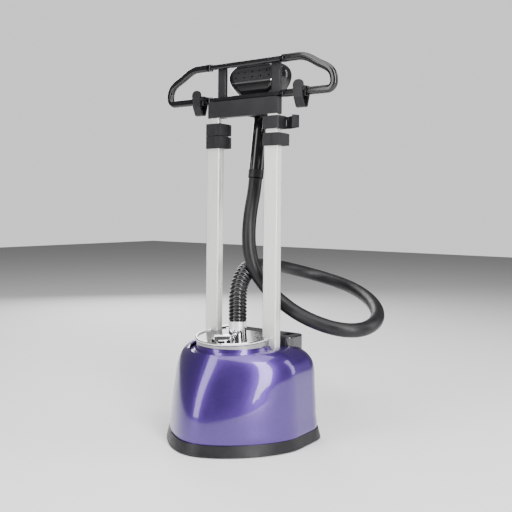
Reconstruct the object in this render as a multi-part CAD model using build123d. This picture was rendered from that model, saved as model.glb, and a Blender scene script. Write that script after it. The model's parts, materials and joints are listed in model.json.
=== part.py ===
from build123d import *
import math
import os

# Garment steamer: a base with a water tank, two telescopic poles, a folding
# garment hanger, and a steam head joined to the base by a hose.
# Millimetres.  X to the right, Y to the back, Z up from the floor.

# ---------------------------------------------------------------- base
FLOOR_GAP = 2.0
SKIRT_TOP = 22.0
SKIRT_HALF = 150.0
SKIRT_REAR = 134.0
BASE_REAR_CORNER = 52.0
SIDE_END_Y = 23.0
HOUSING_HALF = 144.0
HOUSING_FRONT = -126.0
HOUSING_REAR = 128.0
SHOULDER_Z = 183.0
ROLL_RADIUS = 45.0
SIDE_DRAFT = 0.045
FRONT_CURVE = 0.00195
SKIN = 3.0
LOWER_STATIONS = (22.0, 44.0, 67.0, 91.0, 115.0)
NOSE_FULLNESS = 0.405

# ---------------------------------------------------------------- deck
DECK_Y = 9.5
DECK_Z = 204.0
DECK_TILT = 4.7
RIM_RADIUS = 77.7
BAND_RADIUS = 75.0
BAND_BOTTOM = 187.0
NECK_RADIUS = 90.0
KNOB_Y = -37.5
KNOB_RADIUS = 22.5
KNOB_HEIGHT = 9.0
COLLAR_Y = 20.0
COLLAR_RADIUS = 18.0
COLLAR_TOP = 230.0

# ---------------------------------------------------------------- tank
INLET = (-139.0, 56.0, 44.0)
TANK_HALF = 99.0
TANK_FRONT = 61.0
TANK_REAR = 116.0
TANK_FLOOR = 34.0
TANK_TOP = 196.0
TANK_WALL = 2.5
TANK_CORNER = 14.0
LID_TOP = 201.0
POCKET_X = 75.0
POCKET_Y = (78.0, 108.0)
CAP_X = 45.0
PIPE_X = 46.0
CAP_Y = 90.0
DECK_CUT_Y = TANK_FRONT - 4.5

# ---------------------------------------------------------------- poles
POLE_X = 72.5
POLE_Y = 34.0
OUTER_SECTION = (32.0, 18.0)
MIDDLE_SECTION = (27.4, 14.6)
INNER_SECTION = (22.8, 11.2)
TUBE_WALL = 1.2
OUTER_BOTTOM = 60.0
OUTER_TOP = 600.0
MIDDLE_BOTTOM = 64.0
MIDDLE_TOP = 626.0
INNER_BOTTOM = 68.0
INNER_TOP = 668.0
CLAMP_HEIGHT = 25.4
LOWER_CLAMP_Z = 578.0
UPPER_CLAMP_Z = {"left": 604.0, "right": 611.5}
MIDDLE_RAISE = {"left": 0.0, "right": 7.5}
CLAMP_X = (-18.2, 19.6)
CLAMP_Y = (-12.0, 20.0)
LEVER_PIN = (20.6, 21.5)
LEVER_TIP_Y = -15.2
LEVER_FACE_X = 20.1
LEVER_THICK = 2.8
LEVER_HOOK = 15.5
OPEN_ANGLE = 66.0

# ---------------------------------------------------------------- hanger
HANGER_Y = 40.0
SEAM_X = 92.3
TIP_X = 205.0
LOWER_BAR_Z = 680.5
UPPER_BAR_Z = 749.5
BAR_HEIGHT = 10.6
BAR_DEPTH = 12.0
WING_HEIGHT = 15.4
WING_DEPTH = 13.0
POST_X = 68.0
PANEL_HALF = 89.0
PANEL_Z = (641.5, 675.0)
PANEL_Y = (26.5, 41.5)
CLIP_X = {"left": -118.5, "right": 135.0}

# ---------------------------------------------------------------- steam head
HANDLE_FOOT = (0.0, 77.0, 518.0)
HANDLE_RADIUS = 15.5
HEAD_Y = 89.0
HEAD_HALF = 72.0
HEAD_DEPTH = 28.0
PLATE_Y = 63.6

# ---------------------------------------------------------------- hose
HOSE_RADIUS = 14.0
SLEEVE_TOP = (-5.0, 65.0, 330.0)
SLEEVE_RADIUS = 17.0
SLEEVE_RIDGES = 14
SLEEVE_BEND = 60.0
ROUTE = [
    (0, 77, 518), (0, 72.8, 490), (1, 59, 450), (6, 46, 408), (13, 39, 368), (23, 42, 330),
    (41, 55, 297), (68, 66, 270), (104, 72, 247), (148, 78, 231), (190, 91, 221), (220, 120, 219),
    (230, 162, 226), (218, 210, 237), (184, 262, 251), (132, 312, 265), (70, 346, 279),
    (8, 342, 294), (-38, 302, 310), (-52, 242, 323), (-45, 180, 330), (-30, 125, 333),
    (-7.5, 87.5, 336), (-5, 65, 330),
]

SIDES = {"left": -1, "right": 1}
FIT = 0.3


# ================================================================ helpers
def block(x_range, y_range, z_range):
    (x0, x1), (y0, y1), (z0, z1) = x_range, y_range, z_range
    centre = Pos((x0 + x1) / 2, (y0 + y1) / 2, (z0 + z1) / 2)
    return centre * Box(x1 - x0, y1 - y0, z1 - z0)


def rounded_block(x_range, y_range, z_range, radius):
    """A block whose four upright edges are rounded."""
    (x0, x1), (y0, y1), (z0, z1) = x_range, y_range, z_range
    outline = Pos((x0 + x1) / 2, (y0 + y1) / 2, z0) * RectangleRounded(x1 - x0, y1 - y0, radius)
    return extrude(outline, amount=z1 - z0)


def disc(x, y, z_range, radius):
    z0, z1 = z_range
    return Pos(x, y, (z0 + z1) / 2) * Cylinder(radius, z1 - z0)


def ring(x, y, z_range, outer, inner):
    return disc(x, y, z_range, outer) - disc(x, y, (z_range[0] - 1, z_range[1] + 1), inner)


def rod(start, end, radius):
    axis = Vector(*end) - Vector(*start)
    plane = Plane(origin=Vector(*start), z_dir=axis.normalized())
    return extrude(plane * Circle(radius), amount=axis.length)


def group(solids):
    return Compound(children=[solid for item in solids for solid in item.solids()])


def soften(shape, edges, radius):
    """Round the edges where the shape allows it, and otherwise leave them."""
    try:
        return fillet(edges, radius)
    except (ValueError, RuntimeError):
        return shape


# ================================================================ base outlines
def base_outline(half, front, rear, corner, height):
    """Plan outline: straight sides and back, and a full rounded nose at the front."""
    reach = NOSE_FULLNESS * (SIDE_END_Y - front)
    noses = [Bezier((edge * half, SIDE_END_Y), (edge * half, SIDE_END_Y - reach),
                    (edge * NOSE_FULLNESS * half, front), (0, front)) for edge in (1, -1)]
    left = Line((-half, SIDE_END_Y), (-half, rear - corner))
    left_corner = RadiusArc((-half, rear - corner), (-half + corner, rear), corner)
    back = Line((-half + corner, rear), (half - corner, rear))
    right_corner = RadiusArc((half - corner, rear), (half, rear - corner), corner)
    right = Line((half, rear - corner), (half, SIDE_END_Y))
    outline = make_face(Wire([*noses, left, left_corner, back, right_corner, right]))
    return Pos(0, 0, height) * outline


def skirt_section(height, inset):
    return base_outline(SKIRT_HALF - inset, -SKIRT_REAR + inset, SKIRT_REAR - inset,
                        BASE_REAR_CORNER - inset, height)


def housing_section(height, inset, roll):
    rise = height - SKIRT_TOP
    half = HOUSING_HALF - SIDE_DRAFT * rise - inset - roll
    front = HOUSING_FRONT + FRONT_CURVE * rise ** 2 + inset
    rear = HOUSING_REAR - 0.5 * SIDE_DRAFT * rise - inset - roll
    return base_outline(half, front, rear, BASE_REAR_CORNER - 2 - inset - 0.35 * roll, height)


def housing_solid(inset):
    """The body under the skin, or the skin's own outside when inset is 0."""
    top = SHOULDER_Z - inset
    roll_start = top - ROLL_RADIUS
    sections = [housing_section(z, inset, 0.0) for z in LOWER_STATIONS]
    sections.append(housing_section(roll_start, inset, 0.0))
    for angle in (25.0, 48.0, 68.0, 85.0):
        turn = math.radians(angle)
        height = roll_start + ROLL_RADIUS * math.sin(turn)
        sections.append(housing_section(height, inset, ROLL_RADIUS * (1 - math.cos(turn))))
    return loft(sections)


def deck_place():
    return Location((0, DECK_Y, DECK_Z), (DECK_TILT, 0, 0))


def tilted_ring(profile_points):
    """Turn a radius-height profile about the tilted deck axis."""
    profile = make_face(Polyline(*[(r, 0, z) for r, z in profile_points], close=True))
    return deck_place() * revolve(profile, Axis.Z)


def pole_clearance(gap):
    width, depth = OUTER_SECTION
    holes = []
    for side in SIDES.values():
        x = side * POLE_X
        holes.append(rounded_block((x - width / 2 - gap, x + width / 2 + gap),
                                   (POLE_Y - depth / 2 - gap, POLE_Y + depth / 2 + gap), (50, 260), 3))
    return holes


# ================================================================ base pieces
def base_tray():
    outer = loft([skirt_section(FLOOR_GAP, 0.0), skirt_section(SKIRT_TOP, 5.0)])
    hollow = loft([skirt_section(FLOOR_GAP + 4, 7.0), skirt_section(SKIRT_TOP + 1, 9.5)])
    return outer - hollow


def rubber_feet():
    spots = [(-95, 95), (95, 95), (-80, -70), (80, -70)]
    return group([disc(x, y, (0, FLOOR_GAP), 13) for x, y in spots])


def case_screws():
    """Screws that hold the pole sockets to the tray."""
    return group([Pos(side * POLE_X + shift, POLE_Y - 15 - 1.2, 12) * Rot(90, 0, 0) * Cylinder(3.4, 2.4)
                  for side in SIDES.values() for shift in (-14, 14)])


def tank_bay():
    """The liner that the tank drops into; its rim follows the skin above it."""
    gap, wall = 1.5, 2.0
    x, front, rear = TANK_HALF + gap, TANK_FRONT - gap, TANK_REAR + gap
    outer = rounded_block((-x - wall, x + wall), (front - wall, rear + wall),
                          (TANK_FLOOR - 6, SHOULDER_Z), TANK_CORNER + gap + wall)
    inner = rounded_block((-x, x), (front, rear), (TANK_FLOOR - 4, SHOULDER_Z + 1), TANK_CORNER + gap)
    liner = (outer - inner) & housing_solid(SKIN + FIT)
    liner -= disc(CAP_X, CAP_Y, (TANK_FLOOR - 7, TANK_FLOOR), 16)
    cup = ring(CAP_X, CAP_Y, (TANK_FLOOR - 12, TANK_FLOOR - 4), 18, 16)
    return liner + cup + ring(CAP_X, CAP_Y, (TANK_FLOOR - 12, TANK_FLOOR - 10), 18, 3.2)


def housing_shell():
    shell = housing_solid(0.0) - housing_solid(SKIN)
    shell -= deck_place() * Cylinder(NECK_RADIUS, 120)
    gap = 1.5
    shell -= rounded_block((-TANK_HALF - gap, TANK_HALF + gap), (TANK_FRONT - gap, TANK_REAR + gap),
                           (100, 260), TANK_CORNER + gap)
    for hole in pole_clearance(FIT):
        shell -= hole
    return shell - Pos(*INLET) * Rot(0, 90, 0) * Cylinder(9.1, 30)


def neck_cover():
    """The concave collar between the skin and the chrome band."""
    outer_edge = tilted_ring([(NECK_RADIUS - 0.1, -29.5), (NECK_RADIUS - 0.1, -26.5), (84.5, -25.4),
                              (80.0, -22.6), (77.2, -18.2), (75.6, -12.0), (68.0, -12.0),
                              (68.0, -24.0), (74.0, -29.5)])
    trimmed = outer_edge - disc(0, DECK_Y, (BAND_BOTTOM, 240), 79)
    for hole in pole_clearance(FIT):
        trimmed -= hole
    trimmed -= block((-120, 120), (DECK_CUT_Y, 140), (120, 240))
    return trimmed


def deck_band():
    wall = ring(0, DECK_Y, (BAND_BOTTOM, 230), BAND_RADIUS, BAND_RADIUS - 3)
    above = deck_place() * Pos(0, 0, 44) * Box(300, 300, 100)
    band = wall - above
    for hole in pole_clearance(FIT):
        band -= hole
    return band - block((-120, 120), (DECK_CUT_Y, 140), (120, 240))


def deck_rim():
    rim = tilted_ring([(71.0, -6.0), (RIM_RADIUS - 1.6, -6.0), (RIM_RADIUS, -4.2), (RIM_RADIUS, -1.8),
                       (RIM_RADIUS - 1.6, 0.0), (74.6, 0.0), (74.0, -3.0), (74.0, -4.5), (71.0, -4.5)])
    for hole in pole_clearance(FIT):
        rim -= hole
    return rim - block((-120, 120), (DECK_CUT_Y, 140), (120, 240))


def deck_plate():
    plate = deck_place() * Pos(0, 0, -3.7) * Cylinder(73.9, 1.4)
    plate -= deck_place() * Pos(0, KNOB_Y, 0) * Cylinder(5.06, 20)
    plate -= disc(0, COLLAR_Y, (150, 240), COLLAR_RADIUS + 0.2)
    for hole in pole_clearance(FIT):
        plate -= hole
    return plate - block((-120, 120), (DECK_CUT_Y, 140), (120, 240))


def control_knob():
    dial = extrude(Circle(KNOB_RADIUS), amount=3.6)
    dial = chamfer(dial.faces().sort_by(Axis.Z)[-1].edges(), 1.2)
    grip = Pos(0, 0, 3.6) * extrude(RectangleRounded(40, 12, 5.5), amount=KNOB_HEIGHT - 3.6)
    grip = chamfer(grip.faces().sort_by(Axis.Z)[-1].edges(), 1.5)
    knob = Pos(0, 0, 0.6) * (dial + Rot(0, 0, 28) * grip)
    spindle = Pos(0, 0, -12) * extrude(Circle(5.0), amount=13)
    return deck_place() * Pos(0, KNOB_Y, -3.0) * (knob + spindle)


def rotary_switch():
    body = extrude(RectangleRounded(34, 30, 3), amount=16) - Pos(0, 0, 4) * extrude(Circle(5.06), amount=14)
    return deck_place() * Pos(0, KNOB_Y, -20.6) * body


def hose_collar():
    body = disc(0, COLLAR_Y, (176, COLLAR_TOP), COLLAR_RADIUS)
    body = chamfer(body.faces().sort_by(Axis.Z)[-1].edges(), 1.2)
    return body - disc(0, COLLAR_Y, (170, 240), 11)


def sleeve_path():
    """Straight up out of the collar, then one even bend back to the hose."""
    return FilletPolyline((0, COLLAR_Y, COLLAR_TOP), (0, COLLAR_Y, SLEEVE_TOP[2] - 12), SLEEVE_TOP,
                          radius=SLEEVE_BEND)


def hose_sleeve():
    """Flexible boot: a thin core with a ridge every few millimetres."""
    path = sleeve_path()
    core = sweep(Plane(origin=path @ 0, z_dir=path % 0) * Circle(SLEEVE_RADIUS - 2.2), path=path)
    ridges = []
    for index in range(SLEEVE_RIDGES):
        place = (index + 0.5) / SLEEVE_RIDGES
        plane = Plane(origin=path @ place, z_dir=path % place)
        profile = plane * Circle(SLEEVE_RADIUS)
        ridges.append(extrude(profile, amount=1.7, both=True))
    sleeve = core
    for ridge in ridges:
        sleeve += ridge
    bore = sweep(Plane(origin=path @ 0, z_dir=path % 0) * Circle(10.0), path=path)
    return sleeve - bore


def hose_path():
    points = [Vector(*p) for p in ROUTE]
    radii = []
    for before, here, after in zip(points, points[1:], points[2:]):
        turn = (here - before).get_angle(after - here)
        shorter = min((here - before).length, (after - here).length)
        radii.append(0.45 * shorter / math.tan(math.radians(turn / 2)))
    print("hose arc radii", [round(r) for r in radii])
    return FilletPolyline(*points, radius=radii)


def steam_hose():
    path = hose_path()
    tube = sweep(Plane(origin=path @ 0, z_dir=path % 0) * Circle(HOSE_RADIUS), path=path)
    section = math.pi * HOSE_RADIUS ** 2
    print("hose length", round(path.length, 1), "volume ratio", round(tube.volume / section / path.length, 4))
    return tube


# ================================================================ water tank
def water_tank():
    outer = rounded_block((-TANK_HALF, TANK_HALF), (TANK_FRONT, TANK_REAR), (TANK_FLOOR, TANK_TOP), TANK_CORNER)
    inner = rounded_block((-TANK_HALF + TANK_WALL, TANK_HALF - TANK_WALL),
                          (TANK_FRONT + TANK_WALL, TANK_REAR - TANK_WALL),
                          (TANK_FLOOR + TANK_WALL, TANK_TOP + 1), TANK_CORNER - TANK_WALL)
    neck = ring(CAP_X, CAP_Y, (TANK_FLOOR - 3, TANK_FLOOR + 3), 11.5, 9.0)
    return (outer - inner - disc(CAP_X, CAP_Y, (TANK_FLOOR - 1, TANK_FLOOR + 5), 9.0)) + neck


def tank_lid():
    """Closed top of the tank, with a finger pocket near each end to lift it by."""
    lid = rounded_block((-TANK_HALF, TANK_HALF), (TANK_FRONT, TANK_REAR), (TANK_TOP, LID_TOP), TANK_CORNER)
    lid = fillet(lid.faces().sort_by(Axis.Z)[-1].edges(), 3.0)
    for side in SIDES.values():
        x = side * POCKET_X
        lid += rounded_block((x - 10, x + 10), (POCKET_Y[0] - 2, POCKET_Y[1] + 2), (TANK_TOP - 6, TANK_TOP + 1), 5)
        lid -= rounded_block((x - 8, x + 8), POCKET_Y, (TANK_TOP - 4, LID_TOP + 1), 4)
    return lid


def tank_cap():
    """Screw cap on the neck under the tank, with a hole for the valve stem."""
    low, high = TANK_FLOOR - 5.5, TANK_FLOOR - 0.4
    skirt = ring(CAP_X, CAP_Y, (low, high), 14.0, 11.56)
    return skirt + ring(CAP_X, CAP_Y, (low, low + 2), 14.0, 3.05)


def tank_valve():
    """Plunger that the bay's outlet pushes up to let the water through."""
    stem = disc(CAP_X, CAP_Y, (TANK_FLOOR - 6.5, TANK_FLOOR + 6), 3.0)
    head = disc(CAP_X, CAP_Y, (TANK_FLOOR - 3.2, TANK_FLOOR - 1.2), 7.0)
    return stem + head


# ================================================================ inside the base
def water_pump():
    return rounded_block((42, 80), (-32, -2), (8, 40), 5) + Pos(PIPE_X, -1.5, 24) * Rot(90, 0, 0) * Cylinder(4, 3)


def water_pipe():
    """Feed from the cup under the tank to the pump."""
    end = CAP_Y - 18.2
    pipe = Pos(PIPE_X, end / 2 + 0.1, 24) * Rot(90, 0, 0)
    return pipe * Cylinder(3.0, end) - pipe * Cylinder(2.0, end + 2)


def boiler():
    vessel = ring(-8, -52, (12, 110), 46, 43) + disc(-8, -52, (12, 15), 46) + disc(-8, -52, (107, 110), 46)
    return vessel - disc(-8, -52, (100, 120), 6.1)


def heater_coil():
    return Pos(-8, -52, 36) * Torus(28, 4.5)


def thermostat():
    return rounded_block((-20, 4), (-64, -40), (110, 118), 4) - disc(-8, -52, (100, 120), 6.6)


def steam_pipe():
    start, end = (-8, -52, 104), (0, COLLAR_Y, 176)
    path = FilletPolyline(start, (-8, -52, 142), (0, COLLAR_Y, 150), end, radius=11)
    outer = sweep(Plane(origin=path @ 0, z_dir=path % 0) * Circle(6.0), path=path)
    return outer - sweep(Plane(origin=path @ 0, z_dir=path % 0) * Circle(4.2), path=path)


def control_board():
    board = block((-100, -60), (-32, 10), (40, 41.6))
    return board + block((-95, -80), (-24, -4), (41.6, 54)) + block((-74, -64), (-26, -16), (41.6, 50))


def power_inlet():
    gland = Pos(*INLET) * Rot(0, 90, 0)
    return gland * Cylinder(9.0, 22) - gland * Cylinder(3.6, 40)


# ================================================================ poles
def tube(side, section, z_range, groove=0.0):
    x = SIDES[side] * POLE_X
    width, depth = section
    z0, z1 = z_range
    outer = rounded_block((x - width / 2, x + width / 2), (POLE_Y - depth / 2, POLE_Y + depth / 2), z_range, 2.6)
    inner = rounded_block((x - width / 2 + TUBE_WALL, x + width / 2 - TUBE_WALL),
                          (POLE_Y - depth / 2 + TUBE_WALL, POLE_Y + depth / 2 - TUBE_WALL),
                          (z0 - 1, z1 + 1), 1.4)
    profile = outer - inner
    if groove:
        for edge in (-1, 1):
            rail = x + edge * width / 2
            profile -= block((rail - groove, rail + groove), (POLE_Y - 1.5, POLE_Y + 1.5), (z0 - 1, z1 + 1))
    return profile


def outer_tube(side):
    return tube(side, OUTER_SECTION, (OUTER_BOTTOM, OUTER_TOP), groove=0.5)


def middle_tube(side):
    rise = MIDDLE_RAISE[side]
    return tube(side, MIDDLE_SECTION, (MIDDLE_BOTTOM + rise, MIDDLE_TOP + rise), groove=0.4)


def inner_tube(side):
    return tube(side, INNER_SECTION, (INNER_BOTTOM, INNER_TOP), groove=0.3)


def guide_bush(side, section, host, z_range):
    """Plastic bush near a tube's foot that fills the gap to the tube outside it."""
    x = SIDES[side] * POLE_X
    width, depth = host[0] - 2 * TUBE_WALL - 2 * FIT, host[1] - 2 * TUBE_WALL - 2 * FIT
    z0, z1 = z_range
    bush = rounded_block((x - width / 2, x + width / 2), (POLE_Y - depth / 2, POLE_Y + depth / 2), z_range, 1.3)
    bush -= rounded_block((x - section[0] / 2, x + section[0] / 2),
                          (POLE_Y - section[1] / 2, POLE_Y + section[1] / 2), (z0 - 1, z1 + 1), 2.6)
    for edge in (-1, 1):
        rail = x + edge * section[0] / 2
        bush -= block((rail - 0.6, rail + 0.6), (POLE_Y - 1.5, POLE_Y + 1.5), (z0 - 1, z1 + 1))
    return bush


def middle_bush(side):
    foot = MIDDLE_BOTTOM + MIDDLE_RAISE[side]
    return guide_bush(side, MIDDLE_SECTION, OUTER_SECTION, (foot + 2, foot + 32))


def pole_socket(side):
    """Block on the tray that the outer tube stands in."""
    x = SIDES[side] * POLE_X
    width, depth = OUTER_SECTION
    socket = rounded_block((x - 22, x + 22), (POLE_Y - 15, POLE_Y + 15), (FLOOR_GAP + 4, 120), 4)
    return socket - rounded_block((x - width / 2 - 0.05, x + width / 2 + 0.05),
                                  (POLE_Y - depth / 2 - 0.05, POLE_Y + depth / 2 + 0.05), (OUTER_BOTTOM, 130), 2.6)


def clamp_collar(side, base_z, host, guest):
    """Collar fixed on a tube's top; its upper half guides the next tube."""
    x = SIDES[side] * POLE_X
    top = base_z + CLAMP_HEIGHT
    split = OUTER_TOP - LOWER_CLAMP_Z
    collar = rounded_block((x + CLAMP_X[0], x + CLAMP_X[1]), (POLE_Y + CLAMP_Y[0], POLE_Y + CLAMP_Y[1] - 5),
                           (base_z, top), 4)
    collar += rounded_block((x + 4, x + CLAMP_X[1]), (POLE_Y + 9, POLE_Y + CLAMP_Y[1] - 2), (base_z, top), 2)
    for z_range, section, gap in (((base_z - 1, base_z + split), host, 0.0),
                                  ((base_z + split - 1, top + 1), guest, FIT)):
        collar -= rounded_block((x - section[0] / 2 - gap, x + section[0] / 2 + gap),
                                (POLE_Y - section[1] / 2 - gap, POLE_Y + section[1] / 2 + gap), z_range, 2.6)
    pin_x, pin_y = x + LEVER_PIN[0], POLE_Y + LEVER_PIN[1]
    for z_range in ((base_z + 1, base_z + 6), (top - 6, top - 1)):
        arm = block((x + 10, pin_x - 2), (pin_y - 6, pin_y + 2.0), z_range)
        collar += arm + disc(pin_x, pin_y, z_range, 3.2)
    return collar + disc(pin_x, pin_y, (base_z + 2, top - 2), 1.6)


def clamp_lever(side, base_z, opened=0.0):
    """L-shaped over-centre lever: a long arm beside the collar and a hook round its front."""
    x = SIDES[side] * POLE_X
    pin_x, pin_y = x + LEVER_PIN[0], POLE_Y + LEVER_PIN[1]
    z_range = (base_z + 0.4, base_z + CLAMP_HEIGHT - 0.4)
    face = x + LEVER_FACE_X
    tip = POLE_Y + LEVER_TIP_Y
    arm = block((face, face + LEVER_THICK), (tip, pin_y - 4.0), z_range)
    hook = rounded_block((face + LEVER_THICK - LEVER_HOOK, face + LEVER_THICK), (tip, tip + LEVER_THICK),
                         z_range, 1.2)
    barrel_range = (base_z + 6.3, base_z + CLAMP_HEIGHT - 6.3)
    barrel = disc(pin_x, pin_y, barrel_range, 3.2) + block((face, face + LEVER_THICK), (pin_y - 5, pin_y),
                                                           barrel_range)
    lever = (arm + hook + barrel) - disc(pin_x, pin_y, (base_z, base_z + CLAMP_HEIGHT), 1.66)
    return lever.rotate(Axis((pin_x, pin_y, 0), (0, 0, 1)), opened)


# ================================================================ hanger
def bar(height):
    """Centre bar with a tongue at each end for the wing hinges."""
    end = SEAM_X - 6.4
    beam = Plane.YZ.offset(-end) * Pos(HANGER_Y, height) * RectangleRounded(BAR_DEPTH, BAR_HEIGHT, 4.4)
    beam = extrude(beam, amount=2 * end)
    for side in SIDES.values():
        beam += block(sorted((side * (end - 2), side * SEAM_X)), (HANGER_Y - 4, HANGER_Y + 4),
                      (height - 2.3, height + 2.3))
        beam += disc(side * SEAM_X, HANGER_Y, (height - 2.3, height + 2.3), 5.6)
        beam -= disc(side * SEAM_X, HANGER_Y, (height - 10, height + 10), 2.05)
    return beam


def wing(side):
    """Looped wing: level top, a long curve down to the tip, a tight corner and a level bottom."""
    start = SEAM_X + 6.4
    corner = 14.0
    top = Line((start, UPPER_BAR_Z), (125, UPPER_BAR_Z))
    sweep_down = Spline((125, UPPER_BAR_Z), (172, 731.5), (TIP_X, LOWER_BAR_Z + corner),
                        tangents=((1, 0), (0, -1)))
    turn = RadiusArc((TIP_X, LOWER_BAR_Z + corner), (TIP_X - corner, LOWER_BAR_Z), corner)
    bottom = Line((TIP_X - corner, LOWER_BAR_Z), (start, LOWER_BAR_Z))
    path = Plane.XZ.offset(-HANGER_Y) * Wire([top, sweep_down, turn, bottom])
    profile = Plane(origin=path @ 0, z_dir=path % 0) * RectangleRounded(WING_HEIGHT, WING_DEPTH, 6.2)
    loop = sweep(profile, path=path, transition=Transition.ROUND)
    for height in (LOWER_BAR_Z, UPPER_BAR_Z):
        for low, high in ((-6.6, -2.6), (2.6, 6.6)):
            z_range = (height + low, height + high)
            loop += disc(SEAM_X, HANGER_Y, z_range, 5.6)
            loop += block((SEAM_X, start + 2), (HANGER_Y - 5.6, HANGER_Y + 5.6), z_range)
        loop -= disc(SEAM_X, HANGER_Y, (height - 10, height + 10), 2.0)
    return loop if side == "right" else mirror(loop, about=Plane.YZ)


def hinge_pins():
    return group([disc(side * SEAM_X, HANGER_Y, (height - 6.4, height + 6.4), 1.95)
                  for side in SIDES.values() for height in (LOWER_BAR_Z, UPPER_BAR_Z)])


def bracket():
    """Panel that carries the hanger on the two inner tubes."""
    panel = rounded_block((-PANEL_HALF, PANEL_HALF), PANEL_Y, PANEL_Z, 3)
    width, depth = INNER_SECTION
    for side in SIDES.values():
        x = side * POLE_X
        panel -= rounded_block((x - width / 2, x + width / 2), (POLE_Y - depth / 2, POLE_Y + depth / 2),
                               (PANEL_Z[0] - 1, INNER_TOP), 2.6)
        panel -= block(sorted((side * 84.5, side * 95)), (20, 60), (PANEL_Z[1] - 2, 690))
    return panel


def posts():
    pieces = []
    for side in SIDES.values():
        x = side * POST_X
        post = rounded_block((x - 10.5, x + 10.5), (HANGER_Y + 6, HANGER_Y + 15), (PANEL_Z[0] + 1, 753), 2.5)
        foot = block((x - 10.5, x + 10.5), (PANEL_Y[1], HANGER_Y + 8), (PANEL_Z[0] + 1, 674.5))
        pieces.append(post + foot)
    return group(pieces)


def cradle():
    """Fork behind the bracket that the neck of the steam head hangs in, open at the back."""
    z_range = (648, 664)
    base = block((-27, 27), (PANEL_Y[1], 76), z_range)
    arms = block((-27, -20.5), (74, 108), z_range) + block((20.5, 27), (74, 108), z_range)
    return base + arms


def clip_body(side):
    """Saddle round the wing's lower bar with the fixed rear jaw and two ears for the front jaw."""
    x = CLIP_X[side]
    saddle = rounded_block((x - 12.6, x + 12.6), (31.4, 48.8), (670.6, 690.4), 1.5)
    saddle -= block((x - 20, x + 20), (HANGER_Y - WING_DEPTH / 2 - FIT, HANGER_Y + WING_DEPTH / 2 + FIT),
                    (LOWER_BAR_Z - WING_HEIGHT / 2 - FIT, LOWER_BAR_Z + WING_HEIGHT / 2 + FIT))
    rear = Polyline((48.8, 674), (48.8, 668), (43.5, 651), (38.5, 649.5), (38.5, 653), (41, 654.5), (45.5, 669),
                    (45.5, 671), close=True)
    jaw = extrude(Plane.YZ.offset(x - 11) * make_face(rear), amount=22)
    ears = []
    for low, high in ((-12.6, -10.0), (10.0, 12.6)):
        ears.append(block((x + low, x + high), (25.4, 32), (681, 687)))
    pin = Pos(x, 27.6, 684) * Rot(0, 90, 0) * Cylinder(1.4, 24)
    return saddle + jaw + ears[0] + ears[1] + pin


def clip_jaw(side):
    """Front jaw: round thumb tab above the pin, gripping tab below it."""
    x = CLIP_X[side]
    plate = extrude(Plane.XZ.offset(-24.4) * Pos(x, 691) * RectangleRounded(24, 22, 10.5), amount=-2.6)
    lower = Polyline((24.4, 690), (24.4, 668), (32.5, 651), (38.1, 649.5), (38.1, 653), (35, 654.5), (27.4, 669),
                     (27.0, 690), close=True)
    grip = extrude(Plane.YZ.offset(x - 9.6) * make_face(lower), amount=19.2)
    barrel = Pos(x, 27.6, 684) * Rot(0, 90, 0) * Cylinder(3.0, 19.2)
    for low, high in ((-13, -9.8), (9.8, 13)):
        plate -= block((x + low, x + high), (20, 30), (679, 687.6))
    return (plate + grip + barrel) - Pos(x, 27.6, 684) * Rot(0, 90, 0) * Cylinder(1.45, 40)


# ================================================================ steam head
def handle_axis_y(height):
    return HANDLE_FOOT[1] + 0.15 * (height - HANDLE_FOOT[2])


def head_solid(inset):
    """Outer form of the head, from the neck up; inset gives the hollow inside."""
    sections = [(642, 16.0, 16.0, handle_axis_y(642)), (668, 20.0, 18.0, 97.5), (688, 44.0, 23.5, 94.5),
                (708, 64.0, 27.0, 91.0), (731, HEAD_HALF, HEAD_DEPTH, HEAD_Y), (746, 64.0, 25.0, HEAD_Y),
                (753, 50.0, 18.0, HEAD_Y)]
    faces = []
    for height, half, depth, y in sections:
        z = min(max(height, 642 + inset), 753 - inset)
        corner = 0.88 * (min(half, depth) - inset)
        faces.append(Pos(0, y, z) * RectangleRounded(2 * (half - inset), 2 * (depth - inset), corner))
    return loft(faces)


def head_front():
    return block((-100, 100), (40, PLATE_Y), (600, 800))


def head_shell():
    """Hollow casing of the steam head, open at the flat front."""
    casing = head_solid(0.0) - head_solid(2.5) - head_front()
    return casing - disc(0, handle_axis_y(642), (630, 650), 7.5)


def steam_plate():
    plate = head_solid(0.0) & block((-100, 100), (PLATE_Y - 2.6, PLATE_Y), (718, 752))
    for row, z in enumerate((726.0, 736.0)):
        for index in range(-2 - row, 3 + row):
            x = index * 21.0 if row == 0 else index * 18.0
            plate -= Pos(x, PLATE_Y, z) * Rot(90, 0, 0) * Cylinder(1.7, 12)
    return plate


def plate_trim():
    return head_solid(0.0) & block((-100, 100), (PLATE_Y - 2.0, PLATE_Y), (714.6, 717.6))


def steam_duct():
    start, end = (0, handle_axis_y(640), 640), (0, 88, 722)
    path = FilletPolyline(start, (0, 97, 668), (0, 94, 700), end, radius=20)
    outer = sweep(Plane(origin=path @ 0, z_dir=path % 0) * Circle(6.0), path=path)
    return outer - sweep(Plane(origin=path @ 0, z_dir=path % 0) * Circle(4.5), path=path)


def handle_grip():
    top, foot = (0, handle_axis_y(642), 642), (0, handle_axis_y(534), 534)
    bore = rod((0, handle_axis_y(533), 533), (0, handle_axis_y(643), 643), 12.5)
    grip = rod(foot, top, HANDLE_RADIUS) - bore - head_solid(0.0)
    return grip.solids().sort_by(SortBy.VOLUME)[-1]


def handle_cuff():
    foot, top = HANDLE_FOOT, (0, handle_axis_y(534), 534)
    cuff = rod(foot, top, HANDLE_RADIUS + 0.4)
    return cuff - rod((0, handle_axis_y(524), 524), (0, handle_axis_y(535), 535), 10.0)


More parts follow.
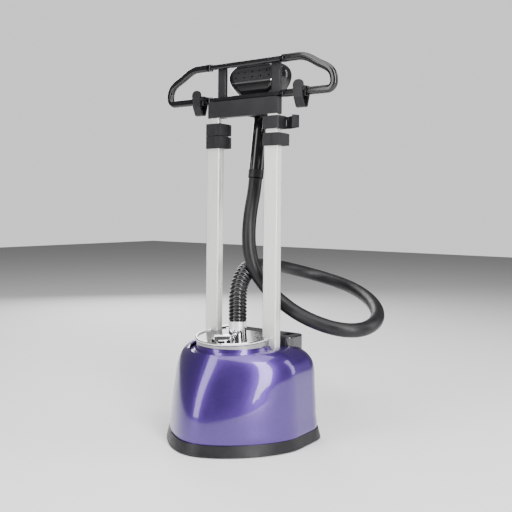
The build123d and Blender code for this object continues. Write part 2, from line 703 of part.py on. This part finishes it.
# ================================================================ export
def all_pieces():
    pieces = {
        "base_tray": base_tray(), "rubber_feet": rubber_feet(), "case_screws": case_screws(),
        "tank_bay": tank_bay(), "housing_shell": housing_shell(), "neck_cover": neck_cover(),
        "deck_band": deck_band(), "deck_rim": deck_rim(), "deck_plate": deck_plate(),
        "control_knob": control_knob(), "rotary_switch": rotary_switch(),
        "hose_collar": hose_collar(), "hose_sleeve": hose_sleeve(), "steam_hose": steam_hose(),
        "water_tank": water_tank(), "tank_lid": tank_lid(), "tank_cap": tank_cap(),
        "tank_valve": tank_valve(), "water_pump": water_pump(), "water_pipe": water_pipe(),
        "boiler": boiler(), "heater_coil": heater_coil(), "thermostat": thermostat(),
        "steam_pipe": steam_pipe(), "control_board": control_board(), "power_inlet": power_inlet(),
        "pole_sockets": group([pole_socket(side) for side in SIDES]),
        "lower_clamp_collars": group([clamp_collar(side, LOWER_CLAMP_Z, OUTER_SECTION, MIDDLE_SECTION)
                                      for side in SIDES]),
        "upper_bar": bar(UPPER_BAR_Z), "lower_bar": bar(LOWER_BAR_Z), "hinge_pins": hinge_pins(),
        "bracket": bracket(), "posts": posts(), "cradle": cradle(),
        "head_shell": head_shell(), "steam_plate": steam_plate(), "plate_trim": plate_trim(),
        "steam_duct": steam_duct(), "handle_grip": handle_grip(), "handle_cuff": handle_cuff(),
    }
    for side in SIDES:
        upper_z = UPPER_CLAMP_Z[side]
        pieces[side + "_outer_tube"] = outer_tube(side)
        pieces[side + "_middle_tube"] = middle_tube(side)
        pieces[side + "_inner_tube"] = inner_tube(side)
        pieces[side + "_middle_bush"] = middle_bush(side)
        pieces[side + "_upper_collar"] = clamp_collar(side, upper_z, MIDDLE_SECTION, INNER_SECTION)
        pieces[side + "_lower_lever"] = clamp_lever(side, LOWER_CLAMP_Z)
        pieces[side + "_upper_lever"] = clamp_lever(side, upper_z, OPEN_ANGLE if side == "right" else 0.0)
        pieces[side + "_wing"] = wing(side)
        pieces[side + "_clip_body"] = clip_body(side)
        pieces[side + "_clip_jaw"] = clip_jaw(side)
    return pieces


os.makedirs("parts", exist_ok=True)
for name, piece in all_pieces().items():
    export_step(piece, "parts/" + name + ".step")
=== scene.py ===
import json
import math

import bpy
from mathutils import Matrix, Vector


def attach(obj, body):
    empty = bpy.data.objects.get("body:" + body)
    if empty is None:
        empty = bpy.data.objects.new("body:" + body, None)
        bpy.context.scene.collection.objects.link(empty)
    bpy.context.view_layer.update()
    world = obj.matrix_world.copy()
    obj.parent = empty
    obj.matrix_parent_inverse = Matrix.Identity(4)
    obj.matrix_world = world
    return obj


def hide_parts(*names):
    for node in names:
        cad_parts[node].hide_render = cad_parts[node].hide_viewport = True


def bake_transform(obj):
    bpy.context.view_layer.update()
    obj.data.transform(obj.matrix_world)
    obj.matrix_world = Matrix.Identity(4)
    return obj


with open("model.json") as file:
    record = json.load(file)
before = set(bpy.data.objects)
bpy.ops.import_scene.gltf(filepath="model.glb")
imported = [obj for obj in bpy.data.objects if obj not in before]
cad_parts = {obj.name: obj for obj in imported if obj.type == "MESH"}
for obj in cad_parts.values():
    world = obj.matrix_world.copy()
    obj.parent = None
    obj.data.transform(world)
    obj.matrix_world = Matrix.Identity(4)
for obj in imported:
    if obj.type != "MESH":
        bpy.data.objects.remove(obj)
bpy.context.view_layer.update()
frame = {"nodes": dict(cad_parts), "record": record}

# ---------------------------------------------------------------- camera
CAMERA_PLACE = (0.8666, -1.1234, 0.455)
CAMERA_TURN = 35.77
CAMERA_ROLL = 0.54
CAMERA_LENS = 50.2
CAMERA_SENSOR = 36.0
CAMERA_SHIFT_Y = -0.093

# ---------------------------------------------------------------- hose, metres
HOSE_DIAMETER = 0.028
# from the handle down, round the loop behind the right pole and back to the boot
HOSE_ROUTE = [
    (0, 0.077, 0.518), (0, 0.0728, 0.490), (0.001, 0.059, 0.450), (0.006, 0.046, 0.408),
    (0.012, 0.041, 0.368), (0.021, 0.046, 0.330), (0.038, 0.061, 0.297), (0.065, 0.073, 0.270),
    (0.102, 0.079, 0.247), (0.147, 0.083, 0.231), (0.190, 0.094, 0.221), (0.221, 0.122, 0.219),
    (0.230, 0.162, 0.226), (0.218, 0.210, 0.237), (0.184, 0.262, 0.251), (0.132, 0.312, 0.265),
    (0.070, 0.346, 0.279), (0.008, 0.342, 0.294), (-0.038, 0.302, 0.310), (-0.052, 0.242, 0.323),
    (-0.045, 0.180, 0.330), (-0.030, 0.125, 0.333), (-0.0075, 0.0875, 0.336), (-0.005, 0.065, 0.330),
]
HOSE_SPLINE_ORDER = 3
HOSE_STEPS_PER_POINT = 12

# ---------------------------------------------------------------- boot, metres
BOOT_FOOT = Vector((0, 0.020, 0.230))
BOOT_CORNER = Vector((0, 0.020, 0.318))
BOOT_TOP = Vector((-0.005, 0.065, 0.330))
BOOT_BEND = 0.060
BOOT_CREST = 0.0185
BOOT_VALLEY = 0.0158
BOOT_RIDGES = 17
BOOT_STEPS_PER_RIDGE = 10
BOOT_RIDGE_POWER = 0.7  # below 1, the ridges are broad and the grooves narrow

# ---------------------------------------------------------------- meshes and textures
ROUND_SEGMENTS = 64
NOISE_LOW, NOISE_HIGH = 0.3, 0.7  # the part of a noise texture's 0 to 1 that is in use
PLATING_DARK = 0.93

# ---------------------------------------------------------------- room and light
FLOOR_SIZE = 12.0
FLOOR_COLOUR = (0.90, 0.90, 0.90)
FLOOR_ROUGHNESS = 0.7
ROOM_STRENGTH = 0.16
BACKDROP_STRENGTH = 1.0
LIGHT_TARGET = (0, 0, 0.35)
# name, azimuth in degrees, distance, height, (width, height) in metres, watts
SOFTBOXES = [
    ("key_box", -26, 1.8, 1.15, (0.55, 2.2), 60),
    ("left_box", -108, 1.8, 1.10, (0.60, 2.1), 26),
    ("right_fill", 38, 2.0, 1.00, (0.70, 1.8), 18),
    ("back_fill", 140, 2.0, 1.10, (1.00, 1.4), 26),
    ("top_panel", -60, 0.5, 2.60, (2.40, 2.4), 70),
]


# ================================================================ node helpers
class Look:
    """A material with its Principled shader and short ways to add texture nodes."""

    def __init__(self, name, colour, metallic=0.0, roughness=0.4):
        self.material = bpy.data.materials.new(name)
        self.material.use_nodes = True
        self.nodes = self.material.node_tree.nodes
        self.links = self.material.node_tree.links
        self.shader = self.nodes["Principled BSDF"]
        self.set("Base Color", (*colour, 1.0))
        self.set("Metallic", metallic)
        self.set("Roughness", roughness)
        self.place = self.nodes.new("ShaderNodeTexCoord").outputs["Object"]

    def set(self, socket, value):
        self.shader.inputs[socket].default_value = value

    def stretch(self, scale):
        mapping = self.nodes.new("ShaderNodeMapping")
        mapping.inputs["Scale"].default_value = scale
        self.links.new(self.place, mapping.inputs["Vector"])
        return mapping.outputs["Vector"]

    def noise(self, size, detail=4.0, vector=None):
        node = self.nodes.new("ShaderNodeTexNoise")
        node.inputs["Scale"].default_value = 1.0 / size
        node.inputs["Detail"].default_value = detail
        self.links.new(vector or self.place, node.inputs["Vector"])
        return node.outputs["Fac"]

    def cells(self, size):
        node = self.nodes.new("ShaderNodeTexVoronoi")
        node.inputs["Scale"].default_value = 1.0 / size
        self.links.new(self.place, node.inputs["Vector"])
        return node.outputs["Color"]

    def spread(self, factor, low, high, socket):
        """Map a noise factor onto low to high and feed it to a shader socket."""
        node = self.nodes.new("ShaderNodeMapRange")
        node.inputs["From Min"].default_value = NOISE_LOW
        node.inputs["From Max"].default_value = NOISE_HIGH
        node.inputs["To Min"].default_value = low
        node.inputs["To Max"].default_value = high
        self.links.new(factor, node.inputs["Value"])
        self.links.new(node.outputs["Result"], self.shader.inputs[socket])

    def tint(self, factor, dark, light):
        ramp = self.nodes.new("ShaderNodeValToRGB")
        ramp.color_ramp.elements[0].position = NOISE_LOW
        ramp.color_ramp.elements[0].color = (*dark, 1.0)
        ramp.color_ramp.elements[1].position = NOISE_HIGH
        ramp.color_ramp.elements[1].color = (*light, 1.0)
        self.links.new(factor, ramp.inputs["Fac"])
        self.links.new(ramp.outputs["Color"], self.shader.inputs["Base Color"])

    def bump(self, height, depth, strength=0.4):
        node = self.nodes.new("ShaderNodeBump")
        node.inputs["Strength"].default_value = strength
        node.inputs["Distance"].default_value = depth
        self.links.new(height, node.inputs["Height"])
        self.links.new(node.outputs["Normal"], self.shader.inputs["Normal"])


# ================================================================ materials
def pearl_purple():
    look = Look("pearl_purple", (0.10, 0.05, 0.30), metallic=0.75, roughness=0.3)
    look.tint(look.noise(0.0007, 2.0), (0.048, 0.019, 0.165), (0.098, 0.046, 0.290))
    look.spread(look.noise(0.030), 0.28, 0.33, "Roughness")
    look.bump(look.cells(0.0005), 0.00001, 0.15)
    look.set("Coat Weight", 1.0)
    look.set("Coat Roughness", 0.05)
    return look.material


def satin_black():
    look = Look("satin_black", (0.012, 0.012, 0.013), roughness=0.42)
    look.tint(look.noise(0.040), (0.010, 0.010, 0.011), (0.016, 0.016, 0.018))
    look.spread(look.noise(0.012), 0.34, 0.50, "Roughness")
    look.bump(look.noise(0.0006, 2.0), 0.00003, 0.3)
    look.set("Specular IOR Level", 0.3)
    return look.material


def gloss_black():
    look = Look("gloss_black", (0.006, 0.006, 0.007), roughness=0.2)
    look.tint(look.noise(0.050), (0.005, 0.005, 0.006), (0.009, 0.009, 0.010))
    look.spread(look.noise(0.020), 0.14, 0.22, "Roughness")
    look.bump(look.noise(0.004), 0.00001, 0.1)
    look.set("Specular IOR Level", 0.4)
    look.set("Coat Weight", 0.35)
    look.set("Coat Roughness", 0.06)
    return look.material


def rubber_black():
    look = Look("rubber_black", (0.008, 0.008, 0.009), roughness=0.45)
    look.tint(look.noise(0.030), (0.006, 0.006, 0.007), (0.011, 0.011, 0.012))
    look.spread(look.noise(0.008), 0.36, 0.50, "Roughness")
    look.bump(look.noise(0.0009), 0.00004, 0.35)
    look.set("Specular IOR Level", 0.35)
    return look.material


def plated(name, colour, rough_low, rough_high):
    look = Look(name, colour, metallic=1.0, roughness=rough_low)
    look.tint(look.noise(0.030), tuple(PLATING_DARK * c for c in colour), colour)
    look.spread(look.noise(0.010), rough_low, rough_high, "Roughness")
    look.bump(look.noise(0.002), 0.000004, 0.05)
    return look.material


def anodised():
    look = Look("anodised_aluminium", (0.80, 0.80, 0.77), metallic=0.6, roughness=0.4)
    drawn = look.noise(1.0, 3.0, look.stretch((1400, 1400, 9)))
    look.tint(drawn, (0.76, 0.76, 0.73), (0.84, 0.84, 0.81))
    look.spread(drawn, 0.36, 0.46, "Roughness")
    look.bump(drawn, 0.000006, 0.15)
    return look.material


def smoked_clear():
    look = Look("smoked_clear", (0.04, 0.04, 0.046), roughness=0.08)
    look.tint(look.noise(0.060), (0.034, 0.034, 0.040), (0.055, 0.055, 0.062))
    look.spread(look.noise(0.015), 0.06, 0.12, "Roughness")
    look.bump(look.noise(0.010), 0.00002, 0.1)
    look.set("Transmission Weight", 0.3)
    look.set("IOR", 1.49)
    look.set("Coat Weight", 0.6)
    look.set("Coat Roughness", 0.04)
    return look.material


def plain_plastic(name, dark, light):
    look = Look(name, light, roughness=0.5)
    look.tint(look.noise(0.020), dark, light)
    look.spread(look.noise(0.008), 0.42, 0.58, "Roughness")
    look.bump(look.noise(0.0008), 0.00004, 0.3)
    return look.material


SLOT_LOOKS = {
    "purple_shell": pearl_purple(),
    "black_plastic": satin_black(),
    "black_gloss": gloss_black(),
    "chrome": plated("bright_chrome", (0.86, 0.86, 0.88), 0.05, 0.10),
    "dark_chrome": plated("smoked_chrome", (0.34, 0.34, 0.36), 0.12, 0.18),
    "pole_metal": anodised(),
    "smoked_tank": smoked_clear(),
    "hose_cover": rubber_black(),
    "foot_rubber": plain_plastic("foot_rubber", (0.02, 0.02, 0.02), (0.035, 0.035, 0.035)),
    "steel": plated("zinc_steel", (0.62, 0.62, 0.62), 0.25, 0.35),
    "boiler_metal": plated("cast_metal", (0.60, 0.60, 0.60), 0.45, 0.60),
    "grey_plastic": plain_plastic("grey_plastic", (0.26, 0.26, 0.27), (0.34, 0.34, 0.35)),
    "board_green": plain_plastic("board_green", (0.03, 0.16, 0.07), (0.05, 0.22, 0.10)),
    "white_rubber": plain_plastic("silicone", (0.66, 0.66, 0.63), (0.76, 0.76, 0.73)),
}


def dress_cad_nodes():
    for subpart in frame["record"]["subparts"]:
        node = frame["nodes"][subpart["node"]]
        look = SLOT_LOOKS[subpart["material_slot"]]
        for slot in node.material_slots:
            slot.material = look


# ================================================================ mesh helpers
def new_mesh(name, vertices, faces, look):
    mesh = bpy.data.meshes.new(name)
    mesh.from_pydata([tuple(v) for v in vertices], [], faces)
    mesh.validate()
    for polygon in mesh.polygons:
        polygon.use_smooth = True
    mesh.materials.append(SLOT_LOOKS[look])
    piece = bpy.data.objects.new(name, mesh)
    bpy.context.scene.collection.objects.link(piece)
    return piece


def frames_along(points):
    """Turn-free frames (point, side, up) at each point of a line."""
    tangents = []
    for index in range(len(points)):
        before, after = points[max(index - 1, 0)], points[min(index + 1, len(points) - 1)]
        tangents.append((after - before).normalized())
    side = tangents[0].orthogonal().normalized()
    result = []
    for point, tangent in zip(points, tangents):
        side = (side - tangent * side.dot(tangent)).normalized()
        result.append((point, side, tangent.cross(side)))
    return result


def tube_mesh(name, points, radii, look):
    """A closed round tube along points, with a radius for each."""
    vertices, faces = [], []
    for (point, side, up), radius in zip(frames_along(points), radii):
        for step in range(ROUND_SEGMENTS):
            angle = 2 * math.pi * step / ROUND_SEGMENTS
            vertices.append(point + radius * (math.cos(angle) * side + math.sin(angle) * up))
    for row in range(len(points) - 1):
        for step in range(ROUND_SEGMENTS):
            here, there = row * ROUND_SEGMENTS, (row + 1) * ROUND_SEGMENTS
            following = (step + 1) % ROUND_SEGMENTS
            faces.append((here + step, here + following, there + following, there + step))
    last = (len(points) - 1) * ROUND_SEGMENTS
    faces.append(tuple(reversed(range(ROUND_SEGMENTS))))
    faces.append(tuple(range(last, last + ROUND_SEGMENTS)))
    return new_mesh(name, vertices, faces, look)


# ================================================================ hose
def hose_line():
    """The hose's smooth centre line, read from a NURBS spline along its route."""
    data = bpy.data.curves.new("hose_line", "CURVE")
    data.dimensions = "3D"
    data.resolution_u = HOSE_STEPS_PER_POINT
    spline = data.splines.new("NURBS")
    spline.points.add(len(HOSE_ROUTE) - 1)
    for point, place in zip(spline.points, HOSE_ROUTE):
        point.co = (*place, 1.0)
    spline.order_u = HOSE_SPLINE_ORDER
    spline.use_endpoint_u = True
    holder = bpy.data.objects.new("hose_line", data)
    bpy.context.scene.collection.objects.link(holder)
    bpy.context.view_layer.update()
    line = bpy.data.meshes.new_from_object(holder)
    points = [vertex.co.copy() for vertex in line.vertices]
    bpy.data.objects.remove(holder)
    bpy.data.meshes.remove(line)
    return points


def steam_hose():
    points = hose_line()
    hose = tube_mesh("flexible_hose", points, [HOSE_DIAMETER / 2] * len(points), "hose_cover")
    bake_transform(hose)
    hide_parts("steam_hose")


# ================================================================ ribbed boot
def boot_line(steps):
    """Straight up, then one even bend to the hose, as evenly spaced points."""
    rise, lean = (BOOT_CORNER - BOOT_FOOT).normalized(), (BOOT_TOP - BOOT_CORNER).normalized()
    turn = rise.angle(lean)
    reach = BOOT_BEND * math.tan(turn / 2)
    bend_start = BOOT_CORNER - rise * reach
    outward = (lean - rise * lean.dot(rise)).normalized()
    centre = bend_start + outward * BOOT_BEND
    straight = (bend_start - BOOT_FOOT).length
    arc = BOOT_BEND * turn
    tail = (BOOT_TOP - BOOT_CORNER).length - reach
    total = straight + arc + tail
    points = []
    for step in range(steps + 1):
        along = total * step / steps
        if along < straight:
            points.append(BOOT_FOOT + rise * along)
        elif along < straight + arc:
            angle = (along - straight) / BOOT_BEND
            back = outward * BOOT_BEND * math.cos(angle)
            up = rise * BOOT_BEND * math.sin(angle)
            points.append(centre - back + up)
        else:
            points.append(BOOT_TOP - lean * (total - along))
    return points


def ribbed_boot():
    steps = BOOT_RIDGES * BOOT_STEPS_PER_RIDGE
    radii = []
    for step in range(steps + 1):
        wave = abs(math.sin(math.pi * step / BOOT_STEPS_PER_RIDGE)) ** BOOT_RIDGE_POWER
        radii.append(BOOT_VALLEY + (BOOT_CREST - BOOT_VALLEY) * wave)
    boot = tube_mesh("ribbed_boot", boot_line(steps), radii, "black_gloss")
    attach(boot, "root")
    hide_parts("hose_sleeve")


# ================================================================ room, lights, camera
def studio_floor():
    bpy.ops.mesh.primitive_plane_add(size=FLOOR_SIZE)
    plane = bpy.context.object
    plane.name = "floor"
    look = Look("floor", FLOOR_COLOUR, roughness=FLOOR_ROUGHNESS)
    plane.data.materials.append(look.material)


def soft_light(name, place, width, height, power):
    data = bpy.data.lights.new(name, "AREA")
    data.shape = "RECTANGLE"
    data.size, data.size_y, data.energy = width, height, power
    lamp = bpy.data.objects.new(name, data)
    lamp.location = place
    aim = Vector(LIGHT_TARGET) - Vector(place)
    lamp.rotation_euler = aim.to_track_quat("-Z", "Y").to_euler()
    bpy.context.scene.collection.objects.link(lamp)


def room_light():
    """Dim, even light all round, which the camera sees as a brighter backdrop."""
    world = bpy.data.worlds.new("room")
    bpy.context.scene.world = world
    world.use_nodes = True
    nodes, links = world.node_tree.nodes, world.node_tree.links
    background = nodes["Background"]
    background.inputs["Color"].default_value = (1.0, 1.0, 1.0, 1.0)
    rays = nodes.new("ShaderNodeLightPath")
    strength = nodes.new("ShaderNodeMapRange")
    strength.inputs["To Min"].default_value = ROOM_STRENGTH
    strength.inputs["To Max"].default_value = BACKDROP_STRENGTH
    links.new(rays.outputs["Is Camera Ray"], strength.inputs["Value"])
    links.new(strength.outputs["Result"], background.inputs["Strength"])


def studio():
    studio_floor()
    room_light()
    for name, azimuth, distance, height, size, power in SOFTBOXES:
        turn = math.radians(azimuth)
        place = (distance * math.cos(turn), distance * math.sin(turn), height)
        soft_light(name, place, *size, power)


def camera():
    data = bpy.data.cameras.new("camera")
    data.lens = CAMERA_LENS
    data.sensor_width = CAMERA_SENSOR
    data.shift_y = CAMERA_SHIFT_Y
    eye = bpy.data.objects.new("camera", data)
    level = Matrix.Rotation(math.radians(90), 4, "X")  # from looking down to looking ahead
    turn = Matrix.Rotation(math.radians(CAMERA_TURN), 4, "Z") @ level
    roll = Matrix.Rotation(math.radians(CAMERA_ROLL), 4, "Z")
    eye.matrix_world = Matrix.Translation(CAMERA_PLACE) @ turn @ roll
    bpy.context.scene.collection.objects.link(eye)
    bpy.context.scene.camera = eye


camera()
studio()
dress_cad_nodes()
steam_hose()
ribbed_boot()
